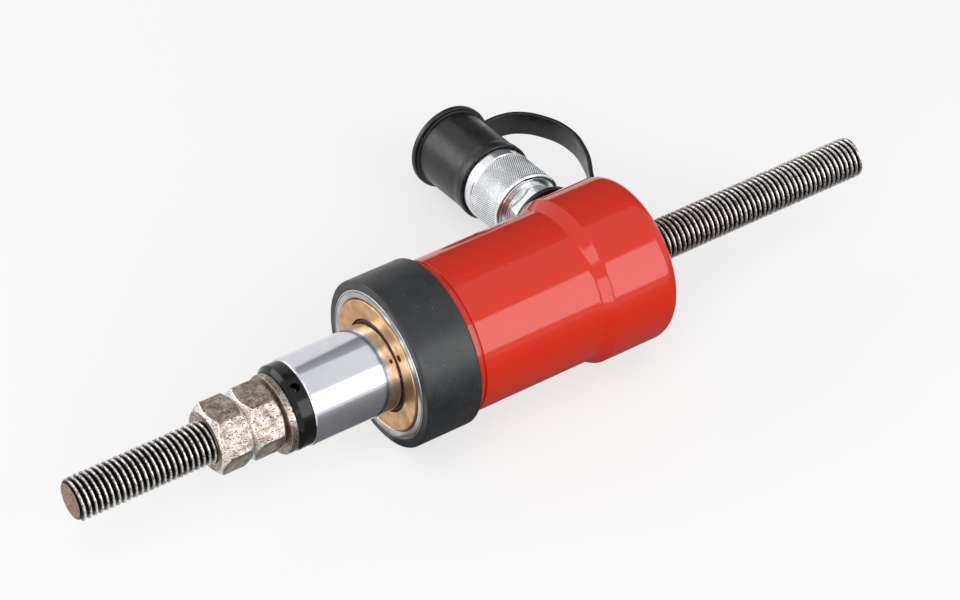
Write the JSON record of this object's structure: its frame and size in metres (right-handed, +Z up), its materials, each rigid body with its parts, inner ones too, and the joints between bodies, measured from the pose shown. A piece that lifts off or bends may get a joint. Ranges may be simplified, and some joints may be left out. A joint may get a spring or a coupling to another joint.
{
  "type": "hollow plunger cylinder",
  "caption": "Short hydraulic ram with a hollow chromed plunger run out, a threaded pull rod with washer and nuts through its middle, and a capped screw coupler on its side.",
  "frame": {"origin": "centre of the base's rear face, on the cylinder's axis", "axes": "+X along the cylinder from the base to the plunger's front, +Z up from the bench that it lies on"},
  "size_m": [0.3828, 0.1506, 0.072],
  "materials": {
    "red_paint": "gloss",
    "hard_chrome": "polished",
    "tube_steel": "drawn",
    "bronze": "turned",
    "black_plastic": "matte",
    "black_oxide": "blackened and oiled",
    "rod_steel": "rolled thread, dark",
    "raw_steel": "forged, unplated",
    "zinc_plate": "zinc plated",
    "spring_steel": "drawn wire",
    "seal_rubber": "matte",
    "wear_ring": "matte",
    "black_rubber": "satin"
  },
  "bodies": {
    "cylinder": {"cylinder_body": "red_paint", "tube_seal": "seal_rubber", "centre_tube": "tube_steel", "return_spring": "spring_steel", "guide_bush": "bronze", "bush_seal": "seal_rubber", "rod_seal": "seal_rubber", "wiper_ring": "seal_rubber", "coupler_nipple": "zinc_plate", "coupler_body": "zinc_plate", "coupler_seal": "seal_rubber", "retaining_ring": "spring_steel", "poppet_spring": "spring_steel", "cap_strap": "black_rubber"},
    "plunger": {"plunger": "hard_chrome", "wear_ring": "wear_ring", "piston_seal": "seal_rubber", "inner_seal": "seal_rubber", "saddle": "black_oxide"},
    "rod": {"pull_rod": "rod_steel"},
    "washer": {"washer": "raw_steel"},
    "nuts": {"nut_inner": "raw_steel", "nut_outer": "raw_steel"},
    "guard": {"thread_guard": "black_plastic"},
    "collar": {"coupler_collar": "zinc_plate"},
    "poppet": {"coupler_poppet": "zinc_plate"},
    "cap": {"dust_cap": "black_rubber"}
  },
  "joints": [
    {"name": "plunger_stroke", "type": "slide", "parent": "cylinder", "child": "plunger", "axis": [1, 0, 0], "range_m": [-0.04, 0], "deforming": ["return_spring"]},
    {"name": "rod_slide", "type": "slide", "parent": "plunger", "child": "rod", "axis": [1, 0, 0], "range_m": [0, 0.118]},
    {"name": "washer_travel", "type": "slide", "parent": "rod", "child": "washer", "axis": [1, 0, 0], "range_m": [0, 0.0576]},
    {"name": "nut_spin", "type": "hinge", "parent": "washer", "child": "nuts", "pos_m": [0, 0, 0], "axis": [1, 0, 0], "range_deg": [0, 8280]},
    {"name": "guard_slide", "type": "slide", "parent": "cylinder", "child": "guard", "axis": [1, 0, 0], "range_m": [0, 0.17]},
    {"name": "collar_spin", "type": "hinge", "parent": "cylinder", "child": "collar", "pos_m": [0.015, 0, 0], "axis": [0, -0.9888, -0.1495], "continuous": true},
    {"name": "poppet_travel", "type": "slide", "parent": "cylinder", "child": "poppet", "axis": [0, -0.9888, -0.1495], "range_m": [-0.003, 0], "stiffness_N_per_m": 2000, "springref_m": 0.001, "deforming": ["poppet_spring"]},
    {"name": "cap_pull", "type": "slide", "parent": "cylinder", "child": "cap", "axis": [0, -0.9888, -0.1495], "range_m": [0, 0.045]}
  ],
  "couplings": [
    {"joint": "washer_travel", "follows": "nut_spin", "m_per_rad": 0.00039789}
  ]
}
